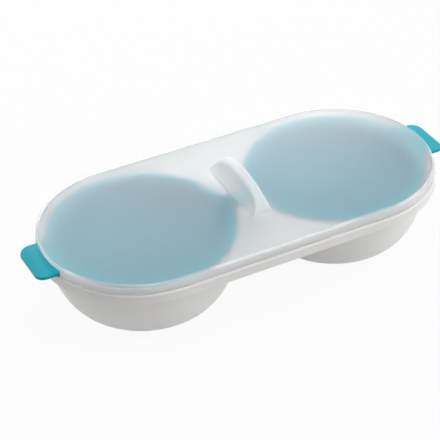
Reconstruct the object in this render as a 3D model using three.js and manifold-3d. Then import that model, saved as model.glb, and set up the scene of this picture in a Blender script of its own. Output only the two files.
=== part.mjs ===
// A two-egg microwave poacher: a white water base with two bowls, a coloured drain insert whose two
// cups hang in the bowls, and a frosted lid with a half-moon grip. All sizes are millimetres, +Z is up,
// X runs through both cups, and the origin is on the table midway between the two feet.
import * as THREE from "three";
import { mergeVertices } from "three/addons/utils/BufferGeometryUtils.js";
import Module from "manifold-3d";

const wasm = await Module();
wasm.setup();

// Cups and insert
const cupMouthRadius = 38.6; // inside a cup, at its mouth
const cupFloorRadius = 17; // flat floor inside a cup
const cupDepth = 24.2; // from the flange's top to the cup's floor
const insertWall = 1.6; // wall, floor and flange of the insert
const flangeWidth = 2.4; // flange that stands out past the cup's wall
const flangeRound = 0.6; // rounding of the flange's top edges
const flangeGap = 14.8; // between the two cups' flanges
const bridgeWidth = 8; // strip that joins the two cups
const bridgeFillet = 2.5; // inside corners where the strip meets the flanges
const tabWidth = 25.4; // lifting tab at each end
const tabReach = 7.6; // tab past the lid's edge
const tabDroop = 0.9; // how far the tab's tip bends down
const tabCorner = 5; // plan corners of the tab
const drainHoleRadius = 1.5;
const drainPitch = 6.5; // between the rings of drain holes
const drainRings = 2; // rings of holes round the middle hole
const drainRingHoles = 6; // holes in the first ring, and what each next ring has more

// Base
const bowlGap = 1; // between a cup's wall and the bowl's wall at the mouth
const bowlWall = 1.8; // wall, floor and deck of the base
const footRadius = 24.5; // flat foot under each bowl
const footRingWidth = 3.5;
const footRecess = 0.6; // the foot's middle, lifted off the table
const waterDepth = 8.6; // free height under a cup
const bandHeight = 5; // band that hangs from the rim
const bandWall = 1.6;
const bandLip = 0.6; // band past the lid's skirt
const bandRound = 0.8; // rounding of the band's top edge
const upstandHeight = 2.2; // ridge on the rim that centres the lid
const upstandWall = 1.3;
const rimStretch = 1.5; // each end of the rim lies this much past its cup's centre

// Lid
const lidWall = 1.5;
const lidHeadroom = 0.9; // between the lid's underside and the highest piece under it
const lidEdgeRound = 1.3; // edge between the lid's top and its skirt
const lidDraft = 0.2; // the skirt is this much wider at its bottom
const gripLength = 43;
const gripHeight = 12.4;
const gripFoot = 11; // thickness where the grip grows out of the lid
const gripBack = 5.2; // thickness along the grip's back
const gripRound = 2; // rounding along the grip's back
const gripLeastRise = 0.05; // what the grip's ends still rise above the lid

// Clearances
const seatGap = 0.3; // under the flange and under the lid's skirt
const flangeClearance = 0.4; // between the flange and the upstand
const lidClearance = 0.4; // between the upstand and the lid's skirt
const tabClearance = 0.6; // beside and above a tab in its notch

// Fineness of the curves
const turnSteps = 48; // round a full turn
const wallSteps = 7; // down a bowl's wall
const cornerSteps = 3; // round a small corner
const ridgeSteps = 4; // over the upstand's round top
const gripSteps = 20; // along the grip
const flankSteps = 5; // up the grip's side
const bendSteps = 6; // along the tab's bend
const filletSteps = 8; // round a plan corner
const holeSides = 10;
const mergeDistance = 1e-4; // vertices closer than this are one

// Radii and heights that follow from the sizes above
const cupOuterRadius = cupMouthRadius + insertWall;
const flangeRadius = cupOuterRadius + flangeWidth;
const cupX = flangeRadius + flangeGap / 2;
const rimX = cupX + rimStretch;
const bowlMouthRadius = cupOuterRadius + bowlGap;
const bowlOuterRadius = bowlMouthRadius + bowlWall;
const upstandInner = flangeRadius + flangeClearance;
const upstandOuter = upstandInner + upstandWall;
const skirtInner = upstandOuter + lidClearance;
const skirtOuter = skirtInner + lidWall;
const bandRadius = skirtOuter + bandLip;
const deckZ = bowlWall + waterDepth + cupDepth - seatGap;
const flangeZ = deckZ + seatGap;
const flangeTop = flangeZ + insertWall;
const skirtZ = deckZ + seatGap;
const lidUnderZ = Math.max(flangeTop + tabClearance, deckZ + upstandHeight) + lidHeadroom;
const lidTop = lidUnderZ + lidWall;
const notchWidth = tabWidth + 2 * tabClearance;
const tabTipX = rimX + skirtOuter + tabReach;

// Points on an arc or on a quarter of an ellipse, as (radius or x, height) pairs.
function arc(centreX, centreZ, radiusX, radiusZ, fromDeg, toDeg, steps) {
  const points = [];
  for (let i = 0; i <= steps; i++) {
    const angle = THREE.MathUtils.degToRad(fromDeg + ((toDeg - fromDeg) * i) / steps);
    points.push(new THREE.Vector2(centreX + radiusX * Math.cos(angle), centreZ + radiusZ * Math.sin(angle)));
  }
  return points;
}

const point = (x, z) => new THREE.Vector2(x, z);

// A closed three.js geometry as a manifold solid: shared vertices merged, empty triangles dropped.
function solid(geometry) {
  const plain = new THREE.BufferGeometry();
  plain.setAttribute("position", geometry.getAttribute("position").clone());
  if (geometry.index) plain.setIndex(geometry.index.clone());
  const merged = mergeVertices(plain, mergeDistance);
  const triangles = [];
  for (let i = 0; i < merged.index.count; i += 3) {
    const [a, b, c] = [0, 1, 2].map((k) => merged.index.getX(i + k));
    if (a !== b && b !== c && c !== a) triangles.push(a, b, c);
  }
  return new wasm.Manifold(
    new wasm.Mesh({
      numProp: 3,
      vertProperties: new Float32Array(merged.getAttribute("position").array),
      triVerts: new Uint32Array(triangles),
    }),
  );
}

// A manifold solid as a named three.js mesh.
function mesh(name, made, material) {
  const { numProp, vertProperties, triVerts } = made.getMesh();
  const positions = [];
  for (let i = 0; i < vertProperties.length; i += numProp) {
    positions.push(vertProperties[i], vertProperties[i + 1], vertProperties[i + 2]);
  }
  const geometry = new THREE.BufferGeometry();
  geometry.setAttribute("position", new THREE.Float32BufferAttribute(positions, 3));
  geometry.setIndex(new THREE.BufferAttribute(new Uint32Array(triVerts), 1));
  geometry.computeVertexNormals();
  const made3d = new THREE.Mesh(geometry, material);
  made3d.name = name;
  return made3d;
}

const atEachEnd = (make) => make(-1).add(make(1));

// A profile turned about one upright axis. The profile starts and ends on the axis and runs anticlockwise.
function turned(profile, centreX) {
  const lathe = new THREE.LatheGeometry(profile, turnSteps);
  return solid(lathe.rotateX(Math.PI / 2).translate(centreX, 0, 0));
}

// A profile carried round a stadium: two half turns about (-halfPitch, 0) and (halfPitch, 0), joined by
// straight runs. The profile is (distance from the stadium's spine, height), and runs anticlockwise.
function stadium(profile, halfPitch) {
  const halfSteps = turnSteps / 2;
  const ring = [];
  for (const side of [1, -1]) {
    for (let i = 0; i <= halfSteps; i++) {
      const angle = Math.PI * (i / halfSteps - 0.5) + (side < 0 ? Math.PI : 0);
      ring.push({ x: side * halfPitch, cos: Math.cos(angle), sin: Math.sin(angle) });
    }
  }
  const positions = profile.flatMap((p) => ring.flatMap((r) => [r.x + p.x * r.cos, p.x * r.sin, p.y]));
  const indices = [];
  for (let k = 0; k + 1 < profile.length; k++) {
    for (let j = 0; j < ring.length; j++) {
      const next = (j + 1) % ring.length;
      const [a, b] = [k * ring.length + j, k * ring.length + next];
      const [c, d] = [a + ring.length, b + ring.length];
      indices.push(a, b, d, a, d, c);
    }
  }
  const geometry = new THREE.BufferGeometry();
  geometry.setAttribute("position", new THREE.Float32BufferAttribute(positions, 3));
  return solid(geometry.setIndex(indices));
}

// A flat outline in X and Y, raised between two heights.
function raised(outline, lowZ, highZ) {
  const options = { depth: highZ - lowZ, bevelEnabled: false, curveSegments: filletSteps };
  return solid(new THREE.ExtrudeGeometry(outline, options).translate(0, 0, lowZ));
}

// A plain block between two corners, used to cut notches.
function block(low, high) {
  const size = high.clone().sub(low);
  const middle = low.clone().add(high).multiplyScalar(0.5);
  return solid(new THREE.BoxGeometry(size.x, size.y, size.z).translate(middle.x, middle.y, middle.z));
}

// The space at one end that a tab runs through, from a given height up to the lid's underside.
function tabNotch(side, lowZ) {
  const [near, far] = [side * rimX, side * (rimX + bandRadius + tabReach)];
  const low = new THREE.Vector3(Math.min(near, far), -notchWidth / 2, lowZ);
  return block(low, new THREE.Vector3(Math.max(near, far), notchWidth / 2, lidUnderZ));
}

// Base: a deck with a hanging band and an upstand, and a round bowl under each cup.
function buildBase() {
  const bandZ = deckZ - bandHeight;
  const upstandRound = upstandWall / 2;
  const ridgeZ = deckZ + upstandHeight - upstandRound;
  const deck = stadium(
    [
      point(0, deckZ - bowlWall),
      point(bandRadius - bandWall, deckZ - bowlWall),
      point(bandRadius - bandWall, bandZ),
      point(bandRadius, bandZ),
      ...arc(bandRadius - bandRound, deckZ - bandRound, bandRound, bandRound, 0, 90, cornerSteps),
      point(upstandOuter, deckZ),
      ...arc(upstandInner + upstandRound, ridgeZ, upstandRound, upstandRound, 0, 180, ridgeSteps),
      point(upstandInner, deckZ),
      point(0, deckZ),
    ],
    rimX,
  );
  const bowlOutside = (side) =>
    turned(
      [
        point(0, footRecess),
        point(footRadius - footRingWidth, footRecess),
        point(footRadius - footRingWidth, 0),
        ...arc(footRadius, bandZ, bowlOuterRadius - footRadius, bandZ, -90, 0, wallSteps),
        point(bowlOuterRadius, deckZ),
        point(0, deckZ),
      ],
      side * cupX,
    );
  const insideDepth = bandZ - bowlWall;
  const bowlInside = (side) =>
    turned(
      [
        point(0, bowlWall),
        ...arc(footRadius, bandZ, bowlMouthRadius - footRadius, insideDepth, -90, 0, wallSteps),
        point(bowlMouthRadius, deckZ + upstandHeight),
        point(0, deckZ + upstandHeight),
      ],
      side * cupX,
    );
  const notches = atEachEnd((side) => tabNotch(side, deckZ));
  return deck.add(atEachEnd(bowlOutside)).subtract(atEachEnd(bowlInside)).subtract(notches);
}

// One cup with its flange, hung from the flange, with rings of drain holes in the floor.
function buildCup(side) {
  const floorZ = flangeTop - cupDepth;
  const bendZ = flangeZ - insertWall;
  const roundZ = flangeTop - flangeRound;
  const underZ = floorZ - insertWall;
  const cup = turned(
    [
      point(0, underZ),
      ...arc(cupFloorRadius, bendZ, cupOuterRadius - cupFloorRadius, bendZ - underZ, -90, 0, wallSteps),
      point(cupOuterRadius, flangeZ),
      point(flangeRadius, flangeZ),
      ...arc(flangeRadius - flangeRound, roundZ, flangeRound, flangeRound, 0, 90, cornerSteps),
      ...arc(cupMouthRadius + flangeRound, roundZ, flangeRound, flangeRound, 90, 180, cornerSteps),
      ...arc(cupFloorRadius, bendZ, cupMouthRadius - cupFloorRadius, bendZ - floorZ, 0, -90, wallSteps),
      point(0, floorZ),
    ],
    side * cupX,
  );
  return cup.subtract(buildDrainHoles(side, floorZ));
}

// A middle hole and the rings of holes round it.
function buildDrainHoles(side, floorZ) {
  const holeLength = 3 * insertWall;
  let holes;
  for (let ring = 0; ring <= drainRings; ring++) {
    const count = Math.max(1, drainRingHoles * ring);
    for (let i = 0; i < count; i++) {
      const angle = (2 * Math.PI * i) / count;
      const hole = new THREE.CylinderGeometry(drainHoleRadius, drainHoleRadius, holeLength, holeSides);
      const x = side * cupX + ring * drainPitch * Math.cos(angle);
      hole.rotateX(Math.PI / 2).translate(x, ring * drainPitch * Math.sin(angle), floorZ - insertWall / 2);
      holes = holes ? holes.add(solid(hole)) : solid(hole);
    }
  }
  return holes;
}

// The strip between the cups, with round inside corners where it runs into the two flanges.
function buildBridge() {
  const half = bridgeWidth / 2;
  const widestFillet = (cupX ** 2 - flangeRadius ** 2 + half ** 2) / (2 * (flangeRadius - half));
  const fillet = Math.min(bridgeFillet, widestFillet);
  const filletY = half + fillet;
  const filletX = Math.sqrt((flangeRadius + fillet) ** 2 - filletY ** 2) - cupX;
  const filletTurn = Math.asin(filletY / (flangeRadius + fillet));
  const rootRadius = cupOuterRadius;
  const rootTurn = Math.asin(half / rootRadius);
  const outline = new THREE.Shape();
  outline.absarc(-cupX, 0, rootRadius, -rootTurn, rootTurn, false);
  outline.absarc(filletX, filletY, fillet, Math.PI + filletTurn, 1.5 * Math.PI, false);
  outline.absarc(-filletX, filletY, fillet, 1.5 * Math.PI, 2 * Math.PI - filletTurn, false);
  outline.absarc(cupX, 0, rootRadius, Math.PI - rootTurn, Math.PI + rootTurn, false);
  outline.absarc(-filletX, -filletY, fillet, filletTurn, Math.PI / 2, false);
  outline.absarc(filletX, -filletY, fillet, Math.PI / 2, Math.PI - filletTurn, false);
  return raised(outline, flangeZ, flangeTop);
}

// One lifting tab: level where it crosses the rim, then bent down to its tip, with round plan corners.
function buildTab(side) {
  const rootX = cupX + cupOuterRadius;
  const bendX = rimX + bandRadius + tabClearance;
  const sideView = new THREE.Shape();
  sideView.moveTo(rootX, flangeZ);
  sideView.lineTo(bendX, flangeZ);
  sideView.quadraticCurveTo((bendX + tabTipX) / 2, flangeZ, tabTipX, flangeZ - tabDroop);
  sideView.lineTo(tabTipX, flangeTop - tabDroop);
  sideView.quadraticCurveTo((bendX + tabTipX) / 2, flangeTop, bendX, flangeTop);
  sideView.lineTo(rootX, flangeTop);
  const options = { depth: tabWidth, bevelEnabled: false, curveSegments: bendSteps };
  const strip = new THREE.ExtrudeGeometry(sideView, options);
  strip.translate(0, 0, -tabWidth / 2).rotateX(Math.PI / 2);
  const half = tabWidth / 2;
  const plan = new THREE.Shape();
  plan.moveTo(rootX, half);
  plan.lineTo(rootX, -half);
  plan.absarc(tabTipX - tabCorner, -half + tabCorner, tabCorner, -Math.PI / 2, 0, false);
  plan.absarc(tabTipX - tabCorner, half - tabCorner, tabCorner, 0, Math.PI / 2, false);
  const tab = solid(strip).intersect(raised(plan, flangeZ - tabDroop - insertWall, flangeTop + insertWall));
  return side > 0 ? tab : tab.mirror([1, 0, 0]);
}

// Insert: two drain cups, the strip between them and a tab at each end, in one moulding.
function buildInsert() {
  return atEachEnd(buildCup).add(buildBridge()).add(atEachEnd(buildTab));
}

// The right half of the grip's section: a hollowed flank, a quarter of an ellipse that is level where it
// leaves the lid and upright at the grip's full height, cut off at this section's height with a round back.
function gripSection(footHalf, backHalf, fullHeight, height, rootZ) {
  const hollow = footHalf - backHalf;
  const flankX = (z) => backHalf + hollow * (1 - Math.sqrt(Math.max(0, 1 - (1 - z / fullHeight) ** 2)));
  const round = Math.min(gripRound, height / 2, flankX(height / 2));
  const flankTop = height - round;
  const points = [point(footHalf, rootZ)];
  for (let i = 0; i < flankSteps; i++) {
    const z = flankTop * (i / flankSteps) ** 2;
    points.push(point(flankX(z), lidTop + z));
  }
  const backX = flankX(flankTop) - round;
  return [...points, ...arc(backX, lidTop + flankTop, round, round, 0, 90, cornerSteps)];
}

// A half-moon solid across the lid: sections along Y under a half ellipse, rooted below the lid's top.
function halfMoon(footHalf, backHalf, halfLength, fullHeight, rootZ) {
  const rings = [];
  for (let i = 0; i <= gripSteps; i++) {
    const angle = Math.PI * (i / gripSteps - 0.5);
    const rise = Math.max(fullHeight * Math.cos(angle), gripLeastRise);
    const right = gripSection(footHalf, backHalf, fullHeight, rise, rootZ);
    const left = [...right].reverse().map((p) => point(-p.x, p.y));
    rings.push([...right, ...left].map((p) => [p.x, halfLength * Math.sin(angle), p.y]));
  }
  const count = rings[0].length;
  const indices = [];
  for (let i = 0; i < gripSteps; i++) {
    for (let j = 0; j < count; j++) {
      const [a, b] = [i * count + j, i * count + ((j + 1) % count)];
      indices.push(a, b + count, b, a, a + count, b + count);
    }
  }
  const last = gripSteps * count;
  for (let j = 1; j + 1 < count; j++) {
    indices.push(0, j, j + 1, last, last + j + 1, last + j);
  }
  const geometry = new THREE.BufferGeometry();
  geometry.setAttribute("position", new THREE.Float32BufferAttribute(rings.flat(2), 3));
  return solid(geometry.setIndex(indices));
}

// Lid: a flat top with a round edge and a skirt, a hollow half-moon grip, and a notch over each tab.
function buildLid() {
  const topRadius = skirtOuter - lidDraft;
  const shell = stadium(
    [
      point(0, lidUnderZ),
      point(skirtInner - lidDraft, lidUnderZ),
      point(skirtInner, skirtZ),
      point(skirtOuter, skirtZ),
      ...arc(topRadius - lidEdgeRound, lidTop - lidEdgeRound, lidEdgeRound, lidEdgeRound, 0, 90, cornerSteps),
      point(0, lidTop),
    ],
    rimX,
  );
  const grip = halfMoon(gripFoot / 2, gripBack / 2, gripLength / 2, gripHeight, lidTop - lidWall / 2);
  const hollow = halfMoon(
    gripFoot / 2 - lidWall,
    gripBack / 2 - lidWall,
    gripLength / 2 - 2 * lidWall,
    gripHeight - lidWall,
    lidUnderZ - lidWall,
  );
  const notches = atEachEnd((side) => tabNotch(side, skirtZ - lidWall));
  return shell.add(grip).subtract(hollow).subtract(notches);
}

const whitePlastic = new THREE.MeshStandardMaterial({ color: 0xeceae6, roughness: 0.45, metalness: 0 });
const tealPlastic = new THREE.MeshStandardMaterial({ color: 0x38b4c0, roughness: 0.4, metalness: 0 });
const frostedPlastic = new THREE.MeshStandardMaterial({
  color: 0xe6ebee,
  roughness: 0.5,
  metalness: 0,
  transparent: true,
  opacity: 0.6,
});

const poacher = new THREE.Group();
poacher.add(mesh("water_base", buildBase(), whitePlastic));
poacher.add(mesh("drain_insert", buildInsert(), tealPlastic));
poacher.add(mesh("lid", buildLid(), frostedPlastic));

export default poacher;
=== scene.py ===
# %% [markdown]
# # A microwave egg poacher in three mouldings
# The real thing is three loose plastic mouldings that stack: a white base with two water bowls, a
# teal insert whose two cups hang in those bowls, and a frosted lid with a pinch grip. The packed
# model is loaded first and never moved. Each moulding is then made again as a finer mesh, in the
# same frame and at the same size, so that its small roundings can catch the light.

# %% Load the frame
import math

import bmesh
import bpy
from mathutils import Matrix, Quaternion, Vector


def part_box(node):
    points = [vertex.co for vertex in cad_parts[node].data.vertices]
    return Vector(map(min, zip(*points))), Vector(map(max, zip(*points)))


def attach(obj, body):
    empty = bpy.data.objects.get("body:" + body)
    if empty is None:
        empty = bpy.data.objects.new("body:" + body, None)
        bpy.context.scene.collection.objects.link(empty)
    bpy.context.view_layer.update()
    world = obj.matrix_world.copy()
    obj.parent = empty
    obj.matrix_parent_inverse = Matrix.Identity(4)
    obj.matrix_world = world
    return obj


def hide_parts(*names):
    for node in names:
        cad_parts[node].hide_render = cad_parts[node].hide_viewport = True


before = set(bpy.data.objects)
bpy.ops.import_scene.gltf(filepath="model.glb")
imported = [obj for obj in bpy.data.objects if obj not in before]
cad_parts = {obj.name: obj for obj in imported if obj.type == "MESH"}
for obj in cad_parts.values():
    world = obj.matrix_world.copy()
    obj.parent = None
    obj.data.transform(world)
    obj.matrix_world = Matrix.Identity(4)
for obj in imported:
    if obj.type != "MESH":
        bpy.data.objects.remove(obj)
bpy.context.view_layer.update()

# %% [markdown]
# ## Sizes
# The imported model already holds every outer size, so those are read from its boxes and not typed
# again. Only what a box can't tell, such as a wall or a clearance, is written down, in millimetres,
# in the cell that first needs it.

# %% Sizes that the frame gives
MM = 0.001
CM = 0.01
base_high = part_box("water_base")[1]  # only its highest corner is needed
insert_low, insert_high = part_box("drain_insert")
lid_low, lid_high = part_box("lid")

BAND_RADIUS = base_high.y
RIM_X = base_high.x - BAND_RADIUS
UPSTAND_TOP = base_high.z
FLANGE_RADIUS = insert_high.y
FLANGE_TOP = insert_high.z
CUP_UNDER_Z = insert_low.z
TAB_TIP_X = insert_high.x
SKIRT_RADIUS = lid_high.y
SKIRT_Z = lid_low.z
GRIP_TOP = lid_high.z
print("rim ends centred at", round(RIM_X / MM, 2), "mm")
print("lid half width", round(SKIRT_RADIUS / MM, 2), "mm")

# %% [markdown]
# ### Places that the mouldings share
# The mouldings seat on each other, so some heights and radii belong to more than one of them: the
# deck that the lid's skirt rests on, the cups' centres, the lid's top and underside. Each is worked
# out once, from the boxes and a wall or a clearance, so that the pieces always fit.

# %% Places that the mouldings share
SEAT_GAP = 0.3 * MM  # between pieces that rest on each other
RIM_STRETCH = 1.5 * MM  # the rim's ends lie this far past the cups' centres
INSERT_WALL = 1.6 * MM
FLANGE_WIDTH = 2.4 * MM
LID_WALL = 1.5 * MM
GRIP_HEIGHT = 12.4 * MM
TAB_WIDTH = 25.4 * MM
TAB_CLEARANCE = 0.6 * MM

CUP_X = RIM_X - RIM_STRETCH
DECK_Z = SKIRT_Z - SEAT_GAP
CUP_OUTER = FLANGE_RADIUS - FLANGE_WIDTH
LID_TOP = GRIP_TOP - GRIP_HEIGHT
LID_UNDER = LID_TOP - LID_WALL
print("cup centres at", round(CUP_X / MM, 2), "mm, deck at", round(DECK_Z / MM, 2), "mm")

# %% [markdown]
# ## Camera
# The camera comes early, so that every later render can be laid over the photograph. Its angles and
# distance were found by fitting the lid's oblong edge and the bowls. The lens and the small shift are
# written in pixels of the square photograph and turned into Blender's units here.

# %% Camera
PHOTO_SIDE = 440
SENSOR_WIDTH = 36.0  # in millimetres, as Blender counts lenses
FOCAL_PIXELS = 1653.5
CENTRE_PIXEL = (240.1, 190.4)  # where the middle of the lid's top falls
VIEW_AZIMUTH = math.radians(-27.8)
VIEW_ELEVATION = math.radians(34.8)
VIEW_ROLL = math.radians(-1.0)
VIEW_DISTANCE = 759 * MM

camera_data = bpy.data.cameras.new("camera")
camera_data.sensor_width = SENSOR_WIDTH
camera_data.lens = SENSOR_WIDTH * FOCAL_PIXELS / PHOTO_SIDE
camera_data.shift_x = (PHOTO_SIDE / 2 - CENTRE_PIXEL[0]) / PHOTO_SIDE
camera_data.shift_y = (CENTRE_PIXEL[1] - PHOTO_SIDE / 2) / PHOTO_SIDE
camera = bpy.data.objects.new("camera", camera_data)
bpy.context.scene.collection.objects.link(camera)
bpy.context.scene.camera = camera

towards_camera = Vector(
    (
        math.sin(VIEW_AZIMUTH) * math.cos(VIEW_ELEVATION),
        -math.cos(VIEW_AZIMUTH) * math.cos(VIEW_ELEVATION),
        math.sin(VIEW_ELEVATION),
    )
)
camera.location = Vector((0, 0, LID_TOP)) + towards_camera * VIEW_DISTANCE
upright = towards_camera.to_track_quat("Z", "Y")
camera.rotation_euler = (upright @ Quaternion((0, 0, 1), VIEW_ROLL)).to_euler()
print("lens", round(camera_data.lens, 1), "mm at", round(VIEW_DISTANCE, 3), "m")

# %% [markdown]
# ## A short way to write node trees
# Finishes and rule-made shapes are both node trees. Wiring each node by hand takes many lines and
# hides the sum that it stands for. So one small class wraps a socket and lets Python's own signs add
# the Math nodes. Each sign has its reflected form too, because 1 - mask starts with a plain number.

# %% Sockets that can be added and multiplied
class Value:
    """A socket of a node tree, for arithmetic."""

    def __init__(self, tree, socket):
        self.tree = tree
        self.socket = socket

    def __add__(self, other):
        return self.tree.math("ADD", self, other)

    def __sub__(self, other):
        return self.tree.math("SUBTRACT", self, other)

    def __rsub__(self, other):
        return self.tree.math("SUBTRACT", other, self)

    def __mul__(self, other):
        return self.tree.math("MULTIPLY", self, other)

    def __truediv__(self, other):
        return self.tree.math("DIVIDE", self, other)

    def __rtruediv__(self, other):
        return self.tree.math("DIVIDE", other, self)

    def __mod__(self, other):
        return self.tree.math("MODULO", self, other)

    def __rmod__(self, other):
        return self.tree.math("MODULO", other, self)

    __radd__ = __add__
    __rmul__ = __mul__


print("signs ready: + - * / %")

# %% [markdown]
# ### One method for every other node
# A node takes its type first, then its settings, then what goes into its sockets, because a setting
# can change which sockets there are. A list puts several links into one socket, as joining shapes
# needs.

# %% One method for every other node
class Tree:
    """A node tree in the making."""

    def __init__(self, group):
        self.group = group

    def node(self, kind, settings=None, sockets=None, output=0):
        made = self.group.nodes.new(kind)
        for name, value in (settings or {}).items():
            setattr(made, name, value)
        for name, value in (sockets or {}).items():
            self.feed(made.inputs[name], value)
        return Value(self, made.outputs[output]) if made.outputs else None

    def feed(self, socket, value):
        if isinstance(value, list):
            for each in value:
                self.feed(socket, each)
        elif isinstance(value, Value):
            self.group.links.new(value.socket, socket)
        else:
            socket.default_value = value

    def math(self, operation, first, second=0.0):
        return self.node("ShaderNodeMath", {"operation": operation}, {0: first, 1: second})


print("node helpers ready")

# %% [markdown]
# ## Finishes
# All three mouldings are polypropylene. Its surface is never one flat colour: the pigment clouds a
# little, the mould leaves a fine blasted grain, and what fingers or a table rub becomes smoother or
# duller. A picture of the surface could be wrapped round it, but a pattern made of nodes needs no
# unwrapping. Each finish is a Principled shader whose colour, roughness and bump follow the piece's
# own coordinates, so that the pattern stays put when a piece moves and can be baked for export.

# %% Finish helpers
BUMP_STRENGTH = 0.5
GRAIN_DETAIL = 3.0  # how many finer layers a noise has
FIRST_COLOUR = 6  # the Mix node's inputs and output for colours, by number
SECOND_COLOUR = 7
MIXED_COLOUR = 2


class Finish(Tree):
    """A material with one Principled shader, on the piece's own coordinates."""

    def __init__(self, name):
        self.material = bpy.data.materials.new(name)
        self.material.use_nodes = True
        super().__init__(self.material.node_tree)
        self.shader = self.group.nodes["Principled BSDF"]
        self.place = self.node("ShaderNodeTexCoord", output="Object")

    def set(self, **sockets):
        for name, value in sockets.items():
            self.feed(self.shader.inputs[name.replace("_", " ")], value)

    def axis(self, letter):
        return self.node("ShaderNodeSeparateXYZ", None, {"Vector": self.place}, letter)

    def noise(self, scale, detail=2.0):
        sockets = {"Vector": self.place, "Scale": scale, "Detail": detail}
        return self.node("ShaderNodeTexNoise", None, sockets, "Fac")

    def between(self, factor, first, second):
        sockets = {"Factor": factor, FIRST_COLOUR: first, SECOND_COLOUR: second}
        return self.node("ShaderNodeMix", {"data_type": "RGBA"}, sockets, MIXED_COLOUR)

    def grain(self, scale, depth):
        height = self.noise(scale, GRAIN_DETAIL)
        sockets = {"Height": height, "Strength": BUMP_STRENGTH, "Distance": depth}
        return self.node("ShaderNodeBump", None, sockets)

    def ramp(self, value, start, end):
        sockets = {"Value": value, "From Min": start, "From Max": end}
        return self.node("ShaderNodeMapRange", {"interpolation_type": "SMOOTHSTEP"}, sockets)

    def show_mix(self, factor, first, second):
        mixed = self.node("ShaderNodeMixShader", None, {0: factor, 1: first, 2: second})
        self.feed(self.group.nodes["Material Output"].inputs["Surface"], mixed)

    def fade_to_second(self, factor):
        """Starts a second Principled shader, which takes over where the factor is 1."""
        first = Value(self, self.shader.outputs[0])
        self.shader = self.group.nodes.new("ShaderNodeBsdfPrincipled")
        self.show_mix(factor, first, Value(self, self.shader.outputs[0]))


print("finish helpers ready")

# %% [markdown]
# ### White plastic of the base
# A satin, slightly warm white. A little light goes into the plastic and comes out nearby, so a small
# subsurface share softens its shading. The foot rings slide on tables, so the lowest part is duller
# and a shade darker. Noise scales count patterns to the metre, because the coordinates are in metres.

# %% White plastic
FOOT_SCUFF = 1.2 * MM  # height of the rubbed zone
SCUFF_SCALE = 400.0
WHITE_CLOUD_SCALE = 25.0
SATIN_SCALE = 90.0  # marks that vary the gloss
SATIN_DETAIL = 4.0
SATIN_GRAIN_SCALE = 2600.0
SATIN_GRAIN_DEPTH = 0.04 * MM
WHITE_SHADES = ((0.80, 0.79, 0.77, 1), (0.83, 0.825, 0.81, 1))
RUBBED_WHITE = (0.66, 0.65, 0.63, 1)

white = Finish("white_plastic")
scuff = (1 - white.ramp(white.axis("Z"), 0.0, FOOT_SCUFF)) * white.noise(SCUFF_SCALE, SATIN_DETAIL)
cloud = white.between(white.noise(WHITE_CLOUD_SCALE), *WHITE_SHADES)
white.set(
    Base_Color=white.between(scuff, cloud, RUBBED_WHITE),
    Roughness=0.36 + 0.12 * white.noise(SATIN_SCALE, SATIN_DETAIL) + 0.3 * scuff,
    Normal=white.grain(SATIN_GRAIN_SCALE, SATIN_GRAIN_DEPTH),
    Subsurface_Weight=0.12,
    Subsurface_Radius=(1.0, 0.95, 0.9),
    Subsurface_Scale=2 * MM,
    IOR=1.49,
)
print(white.material.name, len(white.group.nodes), "nodes")

# %% [markdown]
# ### Teal plastic of the insert
# The same satin plastic with a strong blue-green pigment. It could share the white finish with another
# colour, but the two tabs are what fingers hold, so here the gloss grows a little towards their tips.

# %% Teal plastic
TEAL_CLOUD_SCALE = 30.0
TEAL_SHADES = ((0.008, 0.375, 0.475, 1), (0.012, 0.405, 0.505, 1))

teal = Finish("teal_plastic")
outwards = teal.math("ABSOLUTE", teal.axis("X"))
handled = teal.ramp(outwards, RIM_X + SKIRT_RADIUS, TAB_TIP_X)
teal.set(
    Base_Color=teal.between(teal.noise(TEAL_CLOUD_SCALE), *TEAL_SHADES),
    Roughness=0.36 + 0.12 * teal.noise(SATIN_SCALE, SATIN_DETAIL) - 0.06 * handled,
    Normal=teal.grain(SATIN_GRAIN_SCALE, SATIN_GRAIN_DEPTH),
    Specular_IOR_Level=0.13,
    IOR=1.49,
)
print(teal.material.name, len(teal.group.nodes), "nodes")

# %% [markdown]
# ### Frosted plastic of the lid
# A thin, milky sheet: what touches it shows clearly and what lies deeper melts away. That is what a
# rough glass does, so the shader transmits most of the light through a rough surface and keeps a
# small white share for the milkiness. The upper side is smoother than the frosted underside, so a thin
# coat with a lower roughness carries the soft sheen on the lid's far half.

# %% Frosted plastic
LID_CLOUD_SCALE = 20.0
LID_SCALE = 60.0  # marks that vary the gloss
LID_DETAIL = 3.0
LID_GRAIN_SCALE = 3000.0
FROST_DEPTH = 0.03 * MM
FROSTED_SHADES = ((0.70, 0.715, 0.725, 1), (0.73, 0.74, 0.745, 1))


def frost(finish):
    """Gives a finish's shader the lid's frosted look."""
    finish.set(
        Base_Color=finish.between(finish.noise(LID_CLOUD_SCALE), *FROSTED_SHADES),
        Roughness=0.58 + 0.08 * finish.noise(LID_SCALE, LID_DETAIL),
        Normal=finish.grain(LID_GRAIN_SCALE, FROST_DEPTH),
        Transmission_Weight=0.98,
        IOR=1.20,
        Coat_Weight=0.8,
        Coat_Roughness=0.2,
        Coat_IOR=1.4,
    )


frosted = Finish("frosted_plastic")
frost(frosted)
print(frosted.material.name, len(frosted.group.nodes), "nodes")

# %% [markdown]
# ### Milky grip
# The grip stands on edge, so the eye looks through several of its walls at once and it reads as a pale
# cloud that grows out of the lid. It could wear one finish of its own, but that would draw a hard line
# round its foot. So it starts as the lid's frosted finish and fades, over its lowest millimetres and a
# soft halo round its foot, to a very rough one that scatters what passes through, with a low IOR for a
# soft outline.

# %% Milky plastic of the grip
GRIP_LENGTH = 43.0 * MM
GRIP_FOOT = 11.0 * MM
GRIP_FADE = 3.0 * MM  # height over which the grip turns milky
GRIP_HALO = 6.0 * MM  # how far the haze spreads to each side of the foot's edge
MILKY_SHADES = ((0.91, 0.925, 0.935, 1), (0.93, 0.94, 0.95, 1))

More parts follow.
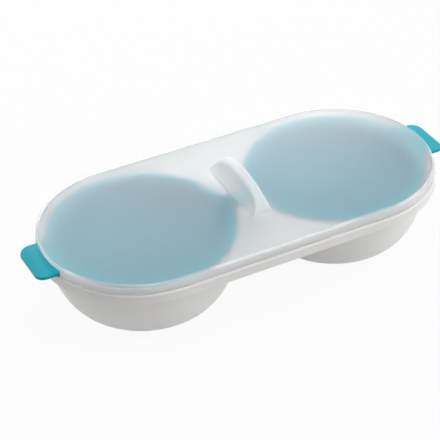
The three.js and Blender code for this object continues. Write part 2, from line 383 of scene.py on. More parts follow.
milky = Finish("milky_plastic")
frost(milky)
from_spine = milky.math("ABSOLUTE", milky.axis("X"))
from_middle = milky.math("ABSOLUTE", milky.axis("Y"))
across = milky.ramp(from_spine, GRIP_FOOT / 2 + GRIP_HALO, GRIP_FOOT / 2 - GRIP_HALO)
along = milky.ramp(from_middle, GRIP_LENGTH / 2 + GRIP_HALO, GRIP_LENGTH / 2 - GRIP_HALO)
rise = milky.ramp(milky.axis("Z"), LID_TOP, LID_TOP + GRIP_FADE)
milky.fade_to_second(milky.math("MAXIMUM", rise, across * along))
milky.set(
    Base_Color=milky.between(milky.noise(LID_CLOUD_SCALE), *MILKY_SHADES),
    Roughness=0.80 + 0.08 * milky.noise(LID_SCALE, LID_DETAIL),
    Normal=milky.grain(LID_GRAIN_SCALE, FROST_DEPTH),
    Transmission_Weight=0.58,
    IOR=1.1,
    Coat_Weight=0.1,
    Coat_Roughness=0.2,
    Coat_IOR=1.4,
)
print(milky.material.name, len(milky.group.nodes), "nodes")

# %% [markdown]
# ### Smooth edge with a painted highlight
# The mould has a polish along the lid's rounded edge and skirt. The frosted finish would leave that
# edge dull. This one is much smoother, so the lamp above draws a line of light round the lid. It is
# also painted whiter and lets less light through: a painted highlight, for the light that gathers on
# the edge of any clear sheet.

# %% Edge plastic, smoother and with a painted highlight
POLISH_DEPTH = 0.01 * MM
# painted highlight: the edge is whiter than the frosted lid, so it reads as a line of light
POLISHED_HIGHLIGHT_SHADES = ((0.95, 0.97, 0.975, 1), (0.97, 0.98, 0.985, 1))

# smoother plastic whose whiter colour and lower transmission paint a highlight along the edge
polished_highlight = Finish("polished_plastic")
polished_highlight.set(
    Base_Color=polished_highlight.between(polished_highlight.noise(LID_CLOUD_SCALE), *POLISHED_HIGHLIGHT_SHADES),
    Roughness=0.13 + 0.08 * polished_highlight.noise(LID_SCALE, LID_DETAIL),
    Normal=polished_highlight.grain(LID_GRAIN_SCALE, POLISH_DEPTH),
    Transmission_Weight=0.55,
    IOR=1.4,
)
print(polished_highlight.material.name, len(polished_highlight.group.nodes), "nodes")

# %% [markdown]
# ## Shapes by rule
# Every moulding here is a section that follows a path: round an upright axis for bowls and cups, and
# round an oblong for the rim and the lid. Geometry Nodes can hold such a rule once, for all three
# mouldings. What comes out is a plain mesh at the origin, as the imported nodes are. A modifier could
# stay on its object, but joints and exports want finished meshes, so it is worked out once and
# removed.

# %% Objects and plain meshes
def from_bmesh(name, work):
    """A plain object at the origin from a finished bmesh."""
    mesh = bpy.data.meshes.new(name)
    work.to_mesh(mesh)
    work.free()
    made = bpy.data.objects.new(name, mesh)
    bpy.context.scene.collection.objects.link(made)
    return made


def bake_modifiers(piece):
    """Turns a piece's modifiers into its plain mesh."""
    graph = bpy.context.evaluated_depsgraph_get()
    mesh = bpy.data.meshes.new_from_object(piece.evaluated_get(graph))
    piece.modifiers.clear()
    piece.data = mesh


print("mesh helpers ready")

# %% [markdown]
# ### Shape trees
# A shape tree is a Geometry Nodes group with named inputs for its sizes. It ends by making instances
# real and setting the material, because an export drops instances. A modifier runs it, and its inputs
# are set by the sockets' identifiers, before the object is first worked out.

# %% Start, end and run a shape tree
def shape_tree(name, inputs):
    """A Geometry Nodes tree with named inputs, and those inputs as values."""
    group = bpy.data.node_groups.new(name, "GeometryNodeTree")
    group.interface.new_socket("Geometry", in_out="OUTPUT", socket_type="NodeSocketGeometry")
    for label, kind in inputs.items():
        group.interface.new_socket(label, in_out="INPUT", socket_type="NodeSocket" + kind)
    tree = Tree(group)
    return tree, {label: tree.node("NodeGroupInput", output=label) for label in inputs}


def end_tree(tree, shape, finish):
    """Makes instances real, dresses the shape and hands it out."""
    real = tree.node("GeometryNodeRealizeInstances", None, {"Geometry": shape})
    dressed = tree.node("GeometryNodeSetMaterial", None, {"Geometry": real, "Material": finish})
    tree.node("NodeGroupOutput", None, {"Geometry": dressed})


def run_tree(name, tree, values):
    """The tree's result as a plain mesh object."""
    made = from_bmesh(name, bmesh.new())
    modifier = made.modifiers.new(name, "NODES")
    modifier.node_group = tree.group
    for item in tree.group.interface.items_tree:
        if item.in_out == "INPUT":
            modifier[item.identifier] = values[item.name]
    bake_modifiers(made)
    return made


print("shape tree helpers ready")

# %% [markdown]
# ### A section that follows an oblong
# The rim of a real oblong mould is cut by a tool that follows two half circles and two straight runs.
# This tree does the same: a grid has one row for each point of the section and one column for each
# step of the path, and its vertices move round the right end and then the left. The straight runs are
# what lies between. With no pitch between the ends, the same rule turns a bowl. Curve to Mesh could
# sweep a section too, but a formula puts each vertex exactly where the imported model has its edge.

# %% The sweep's tree
HALF_TURN_STEPS = 64
MERGE_DISTANCE = 1e-7  # in metres, for what should be one point
HALF_STEP = 0.5  # keeps a whole number clear of the edge when it is rounded down


def sweep_tree():
    """Carries a section round an oblong, or round one axis where Half Pitch is 0."""
    inputs = {"Section": "Object", "Half Pitch": "Float", "Centre X": "Float", "Finish": "Material"}
    tree, given = shape_tree("oblong_sweep", inputs)
    section = tree.node("GeometryNodeObjectInfo", None, {"Object": given["Section"]}, "Geometry")
    rows = tree.node("GeometryNodeAttributeDomainSize", None, {"Geometry": section}, "Point Count")
    end_points = HALF_TURN_STEPS + 1
    columns = 2 * end_points + 1  # the last column closes the ring on the first
    grid = tree.node("GeometryNodeMeshGrid", None, {"Vertices X": rows, "Vertices Y": columns})
    index = tree.node("GeometryNodeInputIndex")
    row = tree.math("FLOOR", (index + HALF_STEP) / columns)
    column = (index - row * columns) % (2 * end_points)
    far_end = tree.math("FLOOR", (column + HALF_STEP) / end_points)
    step = column - far_end * end_points
    angle = (step / HALF_TURN_STEPS - 0.5 + far_end) * math.pi
    place = tree.node("GeometryNodeInputPosition")
    sample = {"Geometry": section, "Value": place, "Index": row}
    corner = tree.node("GeometryNodeSampleIndex", {"data_type": "FLOAT_VECTOR"}, sample)
    radius = tree.node("ShaderNodeSeparateXYZ", None, {"Vector": corner}, "X")
    height = tree.node("ShaderNodeSeparateXYZ", None, {"Vector": corner}, "Z")
    end_x = given["Centre X"] + (1 - 2 * far_end) * given["Half Pitch"]
    x = end_x + radius * tree.math("COSINE", angle)
    y = radius * tree.math("SINE", angle)
    spot = tree.node("ShaderNodeCombineXYZ", None, {"X": x, "Y": y, "Z": height})
    bent = tree.node("GeometryNodeSetPosition", None, {"Geometry": grid, "Position": spot})
    closing = {"Geometry": bent, "Distance": MERGE_DISTANCE}
    closed = tree.node("GeometryNodeMergeByDistance", None, closing)
    end_tree(tree, tree.node("GeometryNodeFlipFaces", None, {"Mesh": closed}), given["Finish"])
    return tree


oblong_sweep = sweep_tree()
print(oblong_sweep.group.name, len(oblong_sweep.group.nodes), "nodes")

# %% [markdown]
# ### Run the sweep
# A section is worked out in Python as a list of points. A curve object could carry it into the tree,
# but a small mesh of loose vertices is enough, since the tree reads them by number. That helper goes
# once the solid is made.

# %% Run the sweep
def swept(name, section, finish, half_pitch=0.0, centre_x=0.0):
    """A closed solid from a section of (radius, height) points that starts and ends on the axis."""
    points = bmesh.new()
    for radius, height in section:
        points.verts.new((radius, 0, height))
    outline = from_bmesh("section", points)
    values = {
        "Section": outline,
        "Half Pitch": half_pitch,
        "Centre X": centre_x,
        "Finish": finish.material,
    }
    made = run_tree(name, oblong_sweep, values)
    bpy.data.objects.remove(outline)
    return made


print("a full turn has", 2 * HALF_TURN_STEPS, "steps")

# %% [markdown]
# ## Helpers for moulded shapes
# Every edge of a moulding is a little round, because the mould is. A section could be drawn sharp and
# bevelled later, but a bevel takes every edge alike. So a corner is written as a point with its own
# radius, and a bowl's wall is a quarter of an ellipse that is level at the floor and upright at the
# mouth.

# %% Round corners and bowl walls
ARC_STEPS = 6  # round a small corner
CURVE_STEPS = 12  # round a corner seen from above
WALL_STEPS = 20  # up a bowl's wall


def arc_points(centre, radius, start, end, steps=CURVE_STEPS):
    """Points along a flat arc."""
    angles = [start + (end - start) * i / steps for i in range(steps + 1)]
    return [(centre[0] + radius * math.cos(a), centre[1] + radius * math.sin(a)) for a in angles]


def rounded(corners):
    """A section from (radius, height) points, where a third number rounds that corner."""
    points = []
    for i, corner in enumerate(corners):
        here = Vector(corner[:2])
        if len(corner) < 3:
            points.append(here)
            continue
        size = corner[2]
        before = (Vector(corners[i - 1][:2]) - here).normalized()
        after = (Vector(corners[i + 1][:2]) - here).normalized()
        half_angle = before.angle(after) / 2
        centre = here + (before + after).normalized() * size / math.sin(half_angle)
        first = here + before * size / math.tan(half_angle) - centre
        last = here + after * size / math.tan(half_angle) - centre
        start = math.atan2(first.y, first.x)
        points += arc_points(centre, size, start, start - first.angle_signed(last), ARC_STEPS)
    return points


def quarter(floor_radius, mouth_z, reach, depth):
    """A bowl's wall: a quarter ellipse from its flat floor up to its upright mouth."""
    angles = [math.pi / 2 * step / WALL_STEPS for step in range(WALL_STEPS + 1)]
    return [(floor_radius + reach * math.sin(a), mouth_z - depth * math.cos(a)) for a in angles]


print("a small corner takes", ARC_STEPS, "steps, a bowl's wall", WALL_STEPS)

# %% [markdown]
# ### Join and cut
# A mould maker thinks in outsides and hollows, so solids are joined and cut here too. Blender has
# several boolean solvers. The manifold one is made for closed solids and gives closed ones back, so
# it is used here. Slicing only adds edges, where a bend or the border of a finish will need them.

# %% Join and cut
def combine(body, other, operation):
    """Joins another closed solid to this one, or cuts it away, and removes that other solid."""
    modifier = body.modifiers.new("combine", "BOOLEAN")
    modifier.operation = operation
    modifier.solver = "MANIFOLD"
    modifier.object = other
    bake_modifiers(body)
    bpy.data.objects.remove(other)


def block(name, low, high):
    """A plain block between two corners, for cutting notches and for the floor."""
    work = bmesh.new()
    bmesh.ops.create_cube(work, size=1.0)
    for v in work.verts:
        v.co = Vector(a + (b - a) * (c + 0.5) for a, b, c in zip(low, high, v.co))
    return from_bmesh(name, work)


def slice_across(work, place, direction):
    """Adds edges where a plane passes through, without parting the solid."""
    whole = work.verts[:] + work.edges[:] + work.faces[:]
    bmesh.ops.bisect_plane(work, geom=whole, plane_co=place, plane_no=direction, dist=MERGE_DISTANCE)


print("join and cut helpers ready")

# %% [markdown]
# ### Flat plates
# The strip and the tabs are flat outlines with a thickness. Solidify could thicken them, but raising
# the outline's one face keeps it exact, and a bevel on the edges that lie level rounds both rims.

# %% Flat plates
RIM_SEGMENTS = 3
ROUND_PROFILE = 0.5  # a bevel of this profile is an arc


def plate(name, outline, low_z, high_z, edge_round=0.0):
    """A flat outline in X and Y raised between two heights, with its rims rounded."""
    work = bmesh.new()
    under = work.faces.new([work.verts.new((x, y, low_z)) for x, y in outline])
    raised = bmesh.ops.extrude_face_region(work, geom=[under])["geom"]
    upper = [v for v in raised if isinstance(v, bmesh.types.BMVert)]
    bmesh.ops.translate(work, vec=(0, 0, high_z - low_z), verts=upper)
    bmesh.ops.recalc_face_normals(work, faces=work.faces)
    if edge_round:
        rims = [e for e in work.edges if e.verts[0].co.z == e.verts[1].co.z]
        sizes = {"offset": edge_round, "segments": RIM_SEGMENTS, "profile": ROUND_PROFILE}
        bmesh.ops.bevel(work, geom=rims, affect="EDGES", **sizes)
    return from_bmesh(name, work)


print("plates have", RIM_SEGMENTS, "steps round a rim")

# %% [markdown]
# ### Smooth shading
# A mould's surface has no facets, only real edges. So shading is smooth everywhere, except where two
# faces meet at a clear angle. Weighted normals then keep large flat faces flat, which matters on a
# lid whose top mirrors a lamp.

# %% Smooth shading
SHARP_ANGLE = math.radians(32)
TIDY_DISTANCE = 1e-6  # in metres, for what joining and cutting leave


def smooth(piece):
    """Smooth shading that keeps real corners sharp and flat faces flat."""
    work = bmesh.new()
    work.from_mesh(piece.data)
    bmesh.ops.remove_doubles(work, verts=work.verts, dist=TIDY_DISTANCE)
    bmesh.ops.dissolve_degenerate(work, edges=work.edges, dist=MERGE_DISTANCE)
    volume = work.calc_volume(signed=True)
    work.to_mesh(piece.data)
    work.free()
    piece.data.shade_smooth()
    piece.data.set_sharp_from_angle(angle=SHARP_ANGLE)
    weighted = piece.modifiers.new("weighted", "WEIGHTED_NORMAL")
    weighted.keep_sharp = True
    bake_modifiers(piece)
    print(piece.name, len(piece.data.polygons), "faces,", round(volume / CM**3, 1), "cm3")


print("edges over", round(math.degrees(SHARP_ANGLE)), "degrees stay sharp")

# %% [markdown]
# ## Base
# One white moulding: an oblong deck with a band that hangs from its rim, a low ridge that centres
# the lid, and two round bowls under it. Its sizes follow from the insert that hangs in it: the bowls
# from the cups and a gap for the water, and the ridge from the flange and a clearance.

# %% Base sizes
BOWL_GAP = 1.0 * MM  # between cup and bowl
BOWL_WALL = 1.8 * MM
BAND_HEIGHT = 5.0 * MM
BAND_WALL = 1.6 * MM
FLANGE_CLEARANCE = 0.4 * MM
UPSTAND_WALL = 1.3 * MM
FOOT_RADIUS = 24.5 * MM
FOOT_RING_WIDTH = 3.5 * MM
FOOT_RECESS = 0.6 * MM
SOFT_EDGE = 0.8 * MM  # the base's outer edges
FINE_EDGE = 0.4 * MM  # edges that only touch other pieces

BAND_Z = DECK_Z - BAND_HEIGHT
BOWL_MOUTH = CUP_OUTER + BOWL_GAP
BOWL_OUTER = BOWL_MOUTH + BOWL_WALL
UPSTAND_INNER = FLANGE_RADIUS + FLANGE_CLEARANCE
UPSTAND_OUTER = UPSTAND_INNER + UPSTAND_WALL
print("bowl mouth", round(BOWL_MOUTH / MM, 2), "mm, band from", round(BAND_Z / MM, 2), "mm up")

# %% [markdown]
# ### Sections of the base
# Three sections make the base: the deck with its band and ridge, the outside of a bowl, and the
# hollow inside it. A bowl stands on a narrow ring, with the middle of its foot lifted off the table,
# as moulded dishes do so that they don't rock. The hollow goes on as air above the deck, which cuts
# the bowl's mouth with a round edge.

# %% Base sections
def deck_section():
    """Deck, hanging band and lid ridge, from the spine outwards and back."""
    return rounded(
        [
            (0, DECK_Z - BOWL_WALL),
            (BAND_RADIUS - BAND_WALL, DECK_Z - BOWL_WALL, SOFT_EDGE),
            (BAND_RADIUS - BAND_WALL, BAND_Z, FINE_EDGE),
            (BAND_RADIUS, BAND_Z, FINE_EDGE),
            (BAND_RADIUS, DECK_Z, SOFT_EDGE),
            (UPSTAND_OUTER, DECK_Z, FINE_EDGE),
            (UPSTAND_OUTER, UPSTAND_TOP, FINE_EDGE),
            (UPSTAND_INNER, UPSTAND_TOP, FINE_EDGE),
            (UPSTAND_INNER, DECK_Z, FINE_EDGE),
            (0, DECK_Z),
        ]
    )


def bowl_section():
    """A bowl's outside, from its recessed foot up into the deck."""
    ring_inner = FOOT_RADIUS - FOOT_RING_WIDTH
    ring_edge = FOOT_RECESS / 2
    foot = [(0, FOOT_RECESS), (ring_inner, FOOT_RECESS, ring_edge), (ring_inner, 0, ring_edge)]
    wall = quarter(FOOT_RADIUS, BAND_Z, BOWL_OUTER - FOOT_RADIUS, BAND_Z)
    middle_z = DECK_Z - BOWL_WALL / 2
    return rounded(foot + wall + [(BOWL_OUTER, middle_z), (0, middle_z)])


def hollow_section():
    """A bowl's inside, up to its rounded mouth and the air above it."""
    wall = quarter(FOOT_RADIUS, BAND_Z, BOWL_MOUTH - FOOT_RADIUS, BAND_Z - BOWL_WALL)
    air_radius = BOWL_MOUTH + 2 * SOFT_EDGE
    mouth = [(BOWL_MOUTH, DECK_Z, SOFT_EDGE), (air_radius, DECK_Z)]
    air = [(air_radius, UPSTAND_TOP), (0, UPSTAND_TOP)]
    return rounded([(0, BOWL_WALL)] + wall + mouth + air)


print("deck", len(deck_section()), "points, bowl", len(bowl_section()), "points")

# %% [markdown]
# ### The base in one piece
# It could be modelled as one surface, but then each change would touch every face. Instead the
# outsides are joined first, and only then the hollows are cut, so that no wall is left standing
# inside a bowl. Last come the notches in the ridge that the tabs run through.

# %% Base moulding
def notch(side, low_z, high_z):
    """The space that a tab runs through at one end."""
    half = TAB_WIDTH / 2 + TAB_CLEARANCE
    reach = sorted((side * RIM_X, side * (TAB_TIP_X + BAND_WALL)))
    return block("notch", (reach[0], -half, low_z), (reach[1], half, high_z))


def base_moulding():
    base = swept("base_moulding", deck_section(), white, RIM_X)
    for side in (-1, 1):
        combine(base, swept("bowl", bowl_section(), white, centre_x=side * CUP_X), "UNION")
    for side in (-1, 1):
        combine(base, swept("hollow", hollow_section(), white, centre_x=side * CUP_X), "DIFFERENCE")
        combine(base, notch(side, DECK_Z, LID_UNDER), "DIFFERENCE")
    smooth(base)
    return base


base = base_moulding()

# %% [markdown]
# ## Drain insert
# One teal moulding: two cups that hang by a flange, the strip between them, and a lifting tab at each
# end. Water drains through rings of small holes in the cups' floors. They could be placed one by one,
# but rings repeat, so a second node tree makes plugs from a few named inputs, and the plugs are cut
# out of each floor.

# %% Drain hole plugs
DRAIN_RINGS = 2
RING_HOLES = 6  # in the first ring, and what each next ring has more
DRAIN_PITCH = 6.5 * MM
DRAIN_RADIUS = 1.5 * MM
PLUG_SIDES = 24
PLUG_DEPTH = 3 * INSERT_WALL  # so that a plug goes right through a floor


def drain_tree():
    """Round plugs in rings about a middle one."""
    inputs = {"Pitch": "Float", "Hole Radius": "Float", "Depth": "Float", "Centre": "Vector"}
    tree, given = shape_tree("drain_holes", inputs | {"Finish": "Material"})
    sizes = {"Vertices": PLUG_SIDES, "Radius": given["Hole Radius"], "Depth": given["Depth"]}
    plug = tree.node("GeometryNodeMeshCylinder", None, sizes, "Mesh")
    rings = [tree.node("GeometryNodePoints")]  # one point, for the middle hole
    for ring in range(1, DRAIN_RINGS + 1):
        circle = {"Vertices": RING_HOLES * ring, "Radius": given["Pitch"] * ring}
        rings.append(tree.node("GeometryNodeMeshCircle", None, circle))
    spread = []
    for points in rings:
        copies = {"Points": points, "Instance": plug}
        spread.append(tree.node("GeometryNodeInstanceOnPoints", None, copies))
    plugs = tree.node("GeometryNodeJoinGeometry", None, {"Geometry": spread})
    shift = {"Geometry": plugs, "Translation": given["Centre"]}
    end_tree(tree, tree.node("GeometryNodeTransform", None, shift), given["Finish"])
    return tree


drain_holes = drain_tree()
print(drain_holes.group.name, len(drain_holes.group.nodes), "nodes")

# %% [markdown]
# ### Strip between the cups
# The strip makes one piece of the two cups, so that both lift out together. It has nothing else to
# do, so it is narrow, and it lies under the lid's grip. A plain bar would meet the flanges in sharp
# corners, where plastic cracks, so a quarter of its outline is drawn with a round inside corner and
# mirrored.

# %% Strip between the cups
BRIDGE_WIDTH = 8.0 * MM
BRIDGE_FILLET = 2.5 * MM
FLANGE_Z = FLANGE_TOP - INSERT_WALL


def bridge_outline():
    """The strip between the cups, with round inside corners where it meets the flanges."""
    half = BRIDGE_WIDTH / 2
    fillet_y = half + BRIDGE_FILLET
    span = FLANGE_RADIUS + BRIDGE_FILLET
    fillet_x = CUP_X - math.sqrt(span**2 - fillet_y**2)
    turn = math.asin(fillet_y / span)
    root_turn = math.asin(half / CUP_OUTER)
    upper = arc_points((-CUP_X, 0), CUP_OUTER, 0, root_turn)[1:]
    upper += arc_points((-fillet_x, fillet_y), BRIDGE_FILLET, math.pi + turn, 1.5 * math.pi)
    upper += [(-x, y) for x, y in reversed(upper)]
    return upper + [(x, -y) for x, y in reversed(upper)]


strip = plate("strip", bridge_outline(), FLANGE_Z, FLANGE_TOP)
print("strip", round(BRIDGE_WIDTH / MM, 1), "mm wide,", len(strip.data.polygons), "faces")

# %% [markdown]
# ### Lifting tabs
# A tab sticks out between lid and base for a finger and thumb. It is a flat plate with round corners
# and edges, and its end droops a little. A bend modifier would curve all of it, so the plate is sliced
# across past the rim and lowered by a square curve, which leaves its root level.

# %% Lifting tabs
TAB_CORNER = 5.0 * MM
TAB_DROOP = 0.9 * MM
TAB_SLICES = 10
TAB_EDGE = 0.45 * MM


def tab(side):
    """A lifting tab with round corners and edges, bent down past the rim."""
    half = TAB_WIDTH / 2
    root_x = CUP_X + CUP_OUTER
    corner_x = TAB_TIP_X - TAB_CORNER
    outline = [(root_x, half), (root_x, -half)]
    outline += arc_points((corner_x, TAB_CORNER - half), TAB_CORNER, -math.pi / 2, 0)
    outline += arc_points((corner_x, half - TAB_CORNER), TAB_CORNER, 0, math.pi / 2)
    made = plate("tab", outline, FLANGE_Z, FLANGE_TOP, TAB_EDGE)
    bend_x = RIM_X + BAND_RADIUS + TAB_CLEARANCE
    work = bmesh.new()
    work.from_mesh(made.data)
    for i in range(TAB_SLICES):
        slice_across(work, (bend_x + (TAB_TIP_X - bend_x) * i / TAB_SLICES, 0, 0), (1, 0, 0))
    for v in work.verts:
        past = max(0.0, (v.co.x - bend_x) / (TAB_TIP_X - bend_x))
        v.co.z -= TAB_DROOP * past**2
        v.co.x *= side
    if side < 0:
        bmesh.ops.reverse_faces(work, faces=work.faces)
    work.to_mesh(made.data)
    work.free()
    return made


tabs = {side: tab(side) for side in (-1, 1)}
print(len(tabs), "tabs,", round(TAB_WIDTH / MM, 1), "mm wide")

# %% [markdown]
# ### Cup and flange
# A cup's wall is a quarter of an ellipse like a bowl's, only shallower, so that water can lie under
# it. Its flange rests on the base's deck. A cup could be a surface with a thickness added, but here
# the section runs up the outside, round the flange and down the inside, so one sweep makes it whole.

# %% Cup section
CUP_FLOOR_RADIUS = 17.0 * MM
CUP_MOUTH = CUP_OUTER - INSERT_WALL
LIP_EDGE = 0.6 * MM
FLOOR_Z = CUP_UNDER_Z + INSERT_WALL


def cup_section():
    """A cup with its flange, up its outside and down its inside."""
    bend_z = FLANGE_Z - INSERT_WALL
    outside = quarter(CUP_FLOOR_RADIUS, bend_z, CUP_OUTER - CUP_FLOOR_RADIUS, bend_z - CUP_UNDER_Z)
    inside = quarter(CUP_FLOOR_RADIUS, bend_z, CUP_MOUTH - CUP_FLOOR_RADIUS, bend_z - FLOOR_Z)
    flange = [
        (CUP_OUTER, FLANGE_Z, FINE_EDGE),
        (FLANGE_RADIUS, FLANGE_Z, FINE_EDGE),
        (FLANGE_RADIUS, FLANGE_TOP, LIP_EDGE),
        (CUP_MOUTH, FLANGE_TOP, LIP_EDGE),
    ]
    return rounded([(0, CUP_UNDER_Z)] + outside + flange + inside[::-1] + [(0, FLOOR_Z)])


print("cup", round(2 * CUP_MOUTH / MM, 1), "mm across")
print("cup", round((FLANGE_TOP - FLOOR_Z) / MM, 1), "mm deep")

# %% [markdown]
# ### The insert in one piece
# The cups, the strip and the tabs come out of one mould, so they are joined before the holes are cut,
# and no seam is left where they meet.

# %% Insert moulding
def insert_moulding():
    insert = swept("insert_moulding", cup_section(), teal, centre_x=-CUP_X)
    combine(insert, swept("cup", cup_section(), teal, centre_x=CUP_X), "UNION")
    combine(insert, strip, "UNION")
    holes = {"Pitch": DRAIN_PITCH, "Hole Radius": DRAIN_RADIUS, "Depth": PLUG_DEPTH}
    holes["Finish"] = teal.material
    for side in (-1, 1):
        combine(insert, tabs[side], "UNION")
        holes["Centre"] = (side * CUP_X, 0, FLOOR_Z - INSERT_WALL / 2)
        combine(insert, run_tree("plugs", drain_holes, holes), "DIFFERENCE")
    smooth(insert)
    return insert


insert = insert_moulding()

# %% [markdown]
# ## Lid
# One frosted moulding, with a pinch grip across its middle. The grip's flanks are hollowed for the
# finger and thumb: they leave the lid level and end upright at the grip's full height. A scaled
# section would keep that shape only in the middle, so each section is the full one cut off at its own
# height, with a round back.

# %% Grip sections
GRIP_ROUND = 2.0 * MM
FLANK_STEPS = 12
BACK_STEPS = 8


def grip_section(foot_half, back_half, full_height, height, root_z):
    """The right half of the grip's section, from its root up to the middle of its back."""
    def flank_x(z):
        """Half the grip's width at this height over the lid."""
        level = max(0.0, 1 - (1 - z / full_height) ** 2)
        return back_half + (foot_half - back_half) * (1 - math.sqrt(level))

    size = min(GRIP_ROUND, height / 2, flank_x(height / 2))
    top = height - size
    rises = [top * (i / FLANK_STEPS) ** 2 for i in range(FLANK_STEPS)]
    flank = [(flank_x(z), LID_TOP + z) for z in rises]
    back = arc_points((flank_x(top) - size, LID_TOP + top), size, 0, math.pi / 2, BACK_STEPS)
    return [(foot_half, root_z)] + flank + back


print("half a grip section has", 2 + FLANK_STEPS + BACK_STEPS, "points")

# %% [markdown]
# ### Half moon
# Seen from the side, the grip is half an ellipse. A curve modifier could bend a bar into an arch, but
# an arch is open below and equally thick all along. So sections stand in a row along the grip, each
# as high as the ellipse is there, and faces join them into one closed solid. Like any thick moulded
# grip it is hollow from below, so the same rule also makes the smaller hollow inside it.

# %% Half moon
GRIP_STEPS = 48
GRIP_LEAST_RISE = 0.05 * MM


def half_moon(name, foot_half, back_half, half_length, full_height, root_z):
    """Grip sections along Y under a half ellipse, as one closed solid."""
    work = bmesh.new()
    rows = []
    for i in range(GRIP_STEPS + 1):
        angle = math.pi * (i / GRIP_STEPS - 0.5)
        rise = max(full_height * math.cos(angle), GRIP_LEAST_RISE)
        right = grip_section(foot_half, back_half, full_height, rise, root_z)
        ring = right + [(-x, z) for x, z in reversed(right)]
        rows.append([work.verts.new((x, half_length * math.sin(angle), z)) for x, z in ring])
    for low, high in zip(rows, rows[1:]):
        for j in range(len(low)):
            k = (j + 1) % len(low)
            work.faces.new((low[j], high[j], high[k], low[k]))
    work.faces.new(rows[0])
    work.faces.new(list(reversed(rows[-1])))
    bmesh.ops.triangulate(work, faces=work.faces)
    return from_bmesh(name, work)


GRIP_BACK = 5.2 * MM
grip_halves = (GRIP_FOOT / 2, GRIP_BACK / 2, GRIP_LENGTH / 2)
hollow_halves = (GRIP_FOOT / 2 - LID_WALL, GRIP_BACK / 2 - LID_WALL, GRIP_LENGTH / 2 - 2 * LID_WALL)
grip = half_moon("grip", *grip_halves, GRIP_HEIGHT, LID_TOP - LID_WALL / 2)
grip_hollow = half_moon("grip_hollow", *hollow_halves, GRIP_HEIGHT - LID_WALL, LID_UNDER - LID_WALL)
print("grip", round(GRIP_LENGTH / MM, 1), "mm long,", len(grip.data.polygons), "faces")

# %% [markdown]
# ### Top, edge and skirt
# The lid's top, its round edge and its short skirt are one section carried round the oblong. The skirt
# widens a little towards its bottom, because a straight one would stick in the mould.

# %% Lid section
LID_DRAFT = 0.2 * MM
LID_EDGE = 1.3 * MM
SKIRT_EDGE = 0.8 * MM


def lid_section():
    """Underside, skirt and top of the lid."""
    skirt_inner = SKIRT_RADIUS - LID_WALL
    return rounded(
        [
            (0, LID_UNDER),
            (skirt_inner - LID_DRAFT, LID_UNDER, LIP_EDGE),
            (skirt_inner, SKIRT_Z, FINE_EDGE),
            (SKIRT_RADIUS, SKIRT_Z, SKIRT_EDGE),
            (SKIRT_RADIUS - LID_DRAFT, LID_TOP, LID_EDGE),
            (0, LID_TOP),
        ]
    )


print("lid section", len(lid_section()), "points")

# %% [markdown]
# ### The lid in one piece
# The grip is joined to the lid before its hollow is cut, so that the hollow opens through the lid's
# underside, and each end gets a notch over its tab. The milky haze fades out on the flat top round the
# grip's foot, so the top is sliced along the border of that halo. A finish covers whole faces, and
# without the slices it would run over the whole lid.

# %% Lid moulding
HALO_X = GRIP_FOOT / 2 + GRIP_HALO
HALO_Y = GRIP_LENGTH / 2 + GRIP_HALO


def slice_halo(piece):
    """Adds edges along the border of the halo round the grip's foot."""
    work = bmesh.new()
    work.from_mesh(piece.data)
    for side in (-1, 1):
        slice_across(work, (side * HALO_X, 0, 0), (1, 0, 0))
        slice_across(work, (0, side * HALO_Y, 0), (0, 1, 0))
    work.to_mesh(piece.data)
    work.free()


def lid_moulding():
    lid = swept("lid_moulding", lid_section(), frosted, RIM_X)
    combine(lid, grip, "UNION")
    combine(lid, grip_hollow, "DIFFERENCE")
    for side in (-1, 1):
        combine(lid, notch(side, SKIRT_Z - LID_WALL, LID_UNDER), "DIFFERENCE")
    slice_halo(lid)
    smooth(lid)
    return lid


lid = lid_moulding()

# %% [markdown]
# ## Dressing
# Each finer moulding takes the place of its imported node: it rides on that node's body, so the joints
# move it. The imported nodes could be kept and only dressed, but their facets would show in the gloss.

# %% Dress the pieces
for piece, finishes, node, body, slot in (
    (base, [white], "water_base", "base", "white_base"),
    (insert, [teal], "drain_insert", "insert", "teal_insert"),
    (lid, [frosted, milky, polished_highlight], "lid", "cover", "frosted_lid"),
):
    piece.data.materials.clear()
    for finish in finishes:
        piece.data.materials.append(finish.material)
    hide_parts(node)
    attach(piece, body)
    print(piece.name, "rides on", body)

# %% [markdown]
# ### Three finishes on one lid
# The lid is one moulding, so it stays one mesh, and each face says which finish it wears. The grip
# with its hollow and its halo wears the milky one, the round edge with the skirt the smoother one
# with the painted highlight, and the rest the frosted one.

# %% Finishes of the lid
FROSTED = 0
MILKY = 1
POLISHED_HIGHLIGHT = 2
GRIP_START = 0.02 * MM  # a face of the grip is at least this far above the lid's underside

for face in lid.data.polygons:
    x, y, z = face.center
    on_grip = abs(x) < HALO_X and abs(y) < HALO_Y and z > LID_UNDER + GRIP_START
    on_edge = math.hypot(max(0.0, abs(x) - RIM_X), y) > SKIRT_RADIUS - LID_EDGE
    # the round edge and the skirt get the finish with the painted highlight
    face.material_index = MILKY if on_grip else POLISHED_HIGHLIGHT if on_edge else FROSTED

for index in (FROSTED, MILKY, POLISHED_HIGHLIGHT):
    share = sum(face.area for face in lid.data.polygons if face.material_index == index)
    print(lid.data.materials[index].name, "covers", round(share / CM**2, 1), "cm2")

# %% [markdown]
# ## Stage and light
# A catalogue picture stands on a plain white floor. A glowing floor would be easy, but it would lose
# the object's shadow. So the floor is an ordinary pale surface that shows almost white to the camera,
# and to what gloss and frosted plastic pass on, and keeps a little of the shadow.

# %% Floor
FLOOR_SIDE = 6.0
FLOOR_DEPTH = 0.01
FLOOR_WHITE = 0.93  # what share of the floor is plain white where it is seen
FLOOR_COLOUR = (0.86, 0.86, 0.86, 1)


def seen_rays(tree):
    """1 for the camera's rays and what gloss or frosted plastic passes on, 0 for soft light."""
    kinds = ("Is Camera Ray", "Is Glossy Ray", "Is Transmission Ray")
    camera_ray, glossy_ray, passed_ray = [tree.node("ShaderNodeLightPath", output=k) for k in kinds]
    return tree.math("MAXIMUM", tree.math("MAXIMUM", camera_ray, glossy_ray), passed_ray)


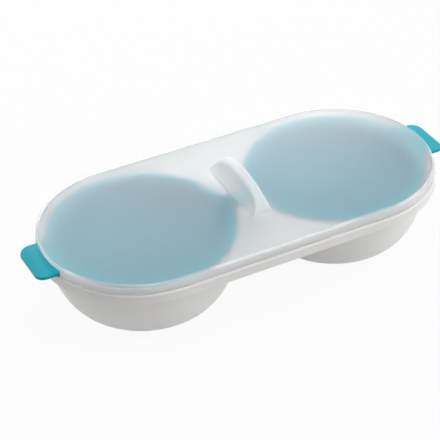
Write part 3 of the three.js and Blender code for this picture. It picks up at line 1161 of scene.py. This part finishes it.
half_floor = FLOOR_SIDE / 2
floor = block("floor", (-half_floor, -half_floor, -FLOOR_DEPTH), (half_floor, half_floor, 0.0))
pale = Finish("pale_floor")
pale.set(Base_Color=FLOOR_COLOUR, Roughness=0.9)
glow = pale.node("ShaderNodeEmission")
shader = Value(pale, pale.shader.outputs[0])
pale.show_mix(FLOOR_WHITE * seen_rays(pale), shader, glow)
floor.data.materials.append(pale.material)
print("floor", FLOOR_SIDE, "m wide")

# %% [markdown]
# ### Surround
# An even white surround lights the object softly from everywhere, as a white tent in a studio does. A
# picture of a studio could do that too, but an even one needs no image. It is plain white where it is
# seen, and much weaker as a light, so that the lamps can still model the shapes.

# %% Surround
AMBIENT = 0.24
PAPER_WHITE = (1, 1, 1, 1)

world = bpy.data.worlds.new("studio")
bpy.context.scene.world = world
world.use_nodes = True
surround = Tree(world.node_tree)
sky = surround.group.nodes["Background"]
surround.feed(sky.inputs["Color"], PAPER_WHITE)
surround.feed(sky.inputs["Strength"], AMBIENT + (1 - AMBIENT) * seen_rays(surround))
print("surround", AMBIENT, "for soft light")

# %% [markdown]
# ### Lamps
# Four lamps do what a studio's soft boxes do: a large key on the right models the bowls, a fill behind
# on the left opens the shade, a low card behind the lid lays the sheen on its far half, and a small
# lamp overhead draws the line of light round its edge. One big lamp could light it all, but it could
# do only one of these well. The card stands close, so it shows in gloss only, or it would wash out
# the back of the base. The key lights matte surfaces only, or its mirror image would wash out the lid
# from behind.

# %% Lamps
def lamp(name, place, target, size, power, matte=True, gloss=True):
    """A soft lamp that faces a point, in metres and watts, for matte surfaces, gloss or both."""
    data = bpy.data.lights.new(name, "AREA")
    data.shape = "RECTANGLE"
    data.size, data.size_y = size
    data.energy = power
    made = bpy.data.objects.new(name, data)
    made.location = place
    made.rotation_euler = (Vector(target) - Vector(place)).to_track_quat("-Z", "Y").to_euler()
    made.visible_diffuse = matte
    made.visible_glossy = gloss
    bpy.context.scene.collection.objects.link(made)
    print(name, "lamp", power, "W")


lid_middle = (0, 0, LID_TOP)
lamp("key", (0.80, -0.48, 0.62), lid_middle, (0.9, 0.9), 7.7, gloss=False)
lamp("fill", (-0.50, 0.75, 0.40), lid_middle, (0.6, 0.6), 3.3)
lamp("sheen", (0.13, 0.43, 0.19), lid_middle, (0.45, 0.16), 2.0, matte=False)
lamp("top", (0, 0, 1.2), lid_middle, (0.3, 0.3), 4.0)
bpy.context.scene.view_settings.view_transform = "Standard"
